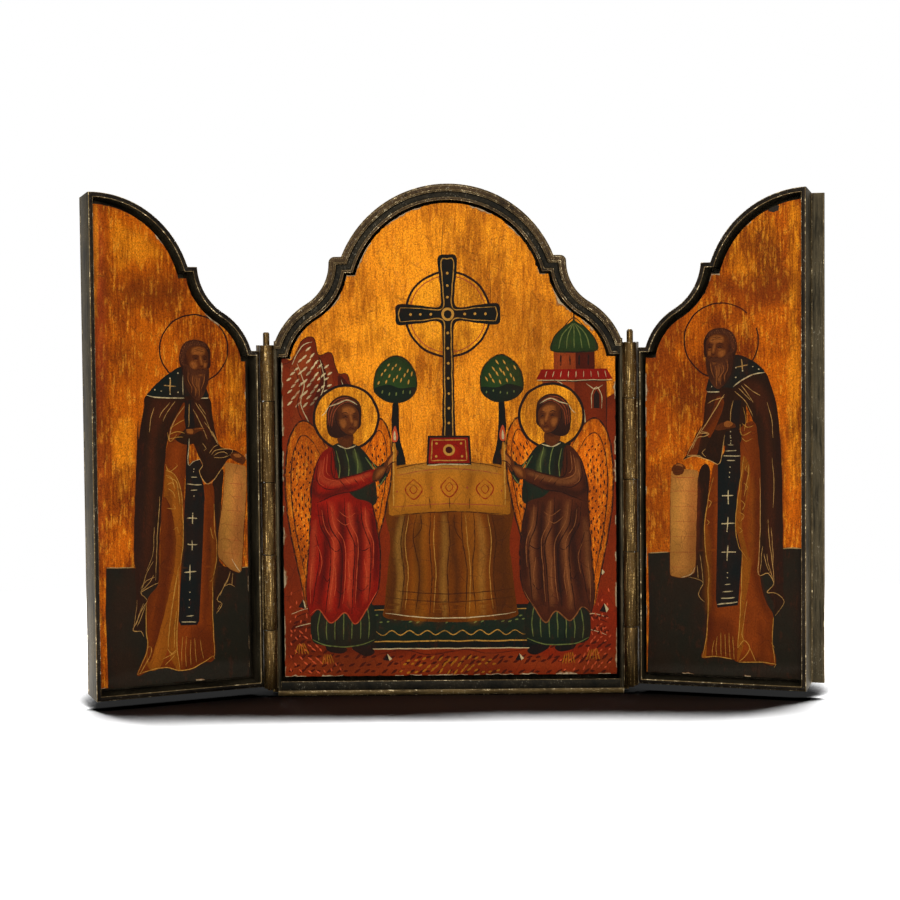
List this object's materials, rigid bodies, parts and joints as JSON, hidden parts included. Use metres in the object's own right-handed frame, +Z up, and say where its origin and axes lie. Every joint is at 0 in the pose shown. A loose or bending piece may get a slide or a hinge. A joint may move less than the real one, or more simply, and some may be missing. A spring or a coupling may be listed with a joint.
{
  "type": "folding travel icon",
  "caption": "Folding travel icon: an arched centre case with hinged wings, each a shallow metal tray that holds a painted board.",
  "frame": {"origin": "middle of the flat bottom face of the centre case, on which the icon stands", "axes": "+Z up; -Y to the viewer, the way the painted faces look; +X to the viewer's right"},
  "size_m": [0.2126, 0.0389, 0.15],
  "materials": {
    "case_metal": "tarnished sheet, grey-brown, dark in the recesses",
    "worn_moulding": "tarnished with worn light edges",
    "hinge_metal": "tarnished, worn along the barrels",
    "board_wood": "aged dark wood",
    "tempera_and_gold": "egg tempera and gold leaf on gesso under old varnish"
  },
  "bodies": {
    "centre_case": {"centre_back_plate": "case_metal", "centre_arch_wall": "case_metal", "centre_left_wall": "case_metal", "centre_right_wall": "case_metal", "centre_bottom_wall": "case_metal", "centre_arch_moulding": "worn_moulding", "centre_bottom_moulding": "worn_moulding", "centre_arch_channel": "case_metal", "centre_bottom_channel": "case_metal", "centre_arch_bead": "worn_moulding", "centre_icon_board": "board_wood", "centre_painted_ground": "tempera_and_gold", "left_hinge_knuckle_1": "hinge_metal", "left_hinge_knuckle_3": "hinge_metal", "left_hinge_knuckle_5": "hinge_metal", "left_hinge_pin": "hinge_metal", "right_hinge_knuckle_1": "hinge_metal", "right_hinge_knuckle_3": "hinge_metal", "right_hinge_knuckle_5": "hinge_metal", "right_hinge_pin": "hinge_metal"},
    "left_wing": {"left_wing_back_plate": "case_metal", "left_wing_hinge_wall": "case_metal", "left_wing_free_wall": "case_metal", "left_wing_top_wall": "case_metal", "left_wing_bottom_wall": "case_metal", "left_wing_rim": "worn_moulding", "left_wing_icon_board": "board_wood", "left_wing_painted_ground": "tempera_and_gold", "left_hinge_knuckle_2": "hinge_metal", "left_hinge_knuckle_4": "hinge_metal"},
    "right_wing": {"right_wing_back_plate": "case_metal", "right_wing_hinge_wall": "case_metal", "right_wing_free_wall": "case_metal", "right_wing_top_wall": "case_metal", "right_wing_bottom_wall": "case_metal", "right_wing_rim": "worn_moulding", "right_wing_icon_board": "board_wood", "right_wing_painted_ground": "tempera_and_gold", "right_hinge_knuckle_2": "hinge_metal", "right_hinge_knuckle_4": "hinge_metal", "right_wing_closing_strip": "case_metal"}
  },
  "joints": [
    {"name": "left_wing_hinge", "type": "hinge", "parent": "centre_case", "child": "left_wing", "pos_m": [-0.0532, -0.0068, 0.05], "axis": [0, 0, 1], "range_deg": [-48.7, 151.3]},
    {"name": "right_wing_hinge", "type": "hinge", "parent": "centre_case", "child": "right_wing", "pos_m": [0.0532, -0.0068, 0.05], "axis": [0, 0, -1], "range_deg": [-41.3, 158.7]}
  ]
}
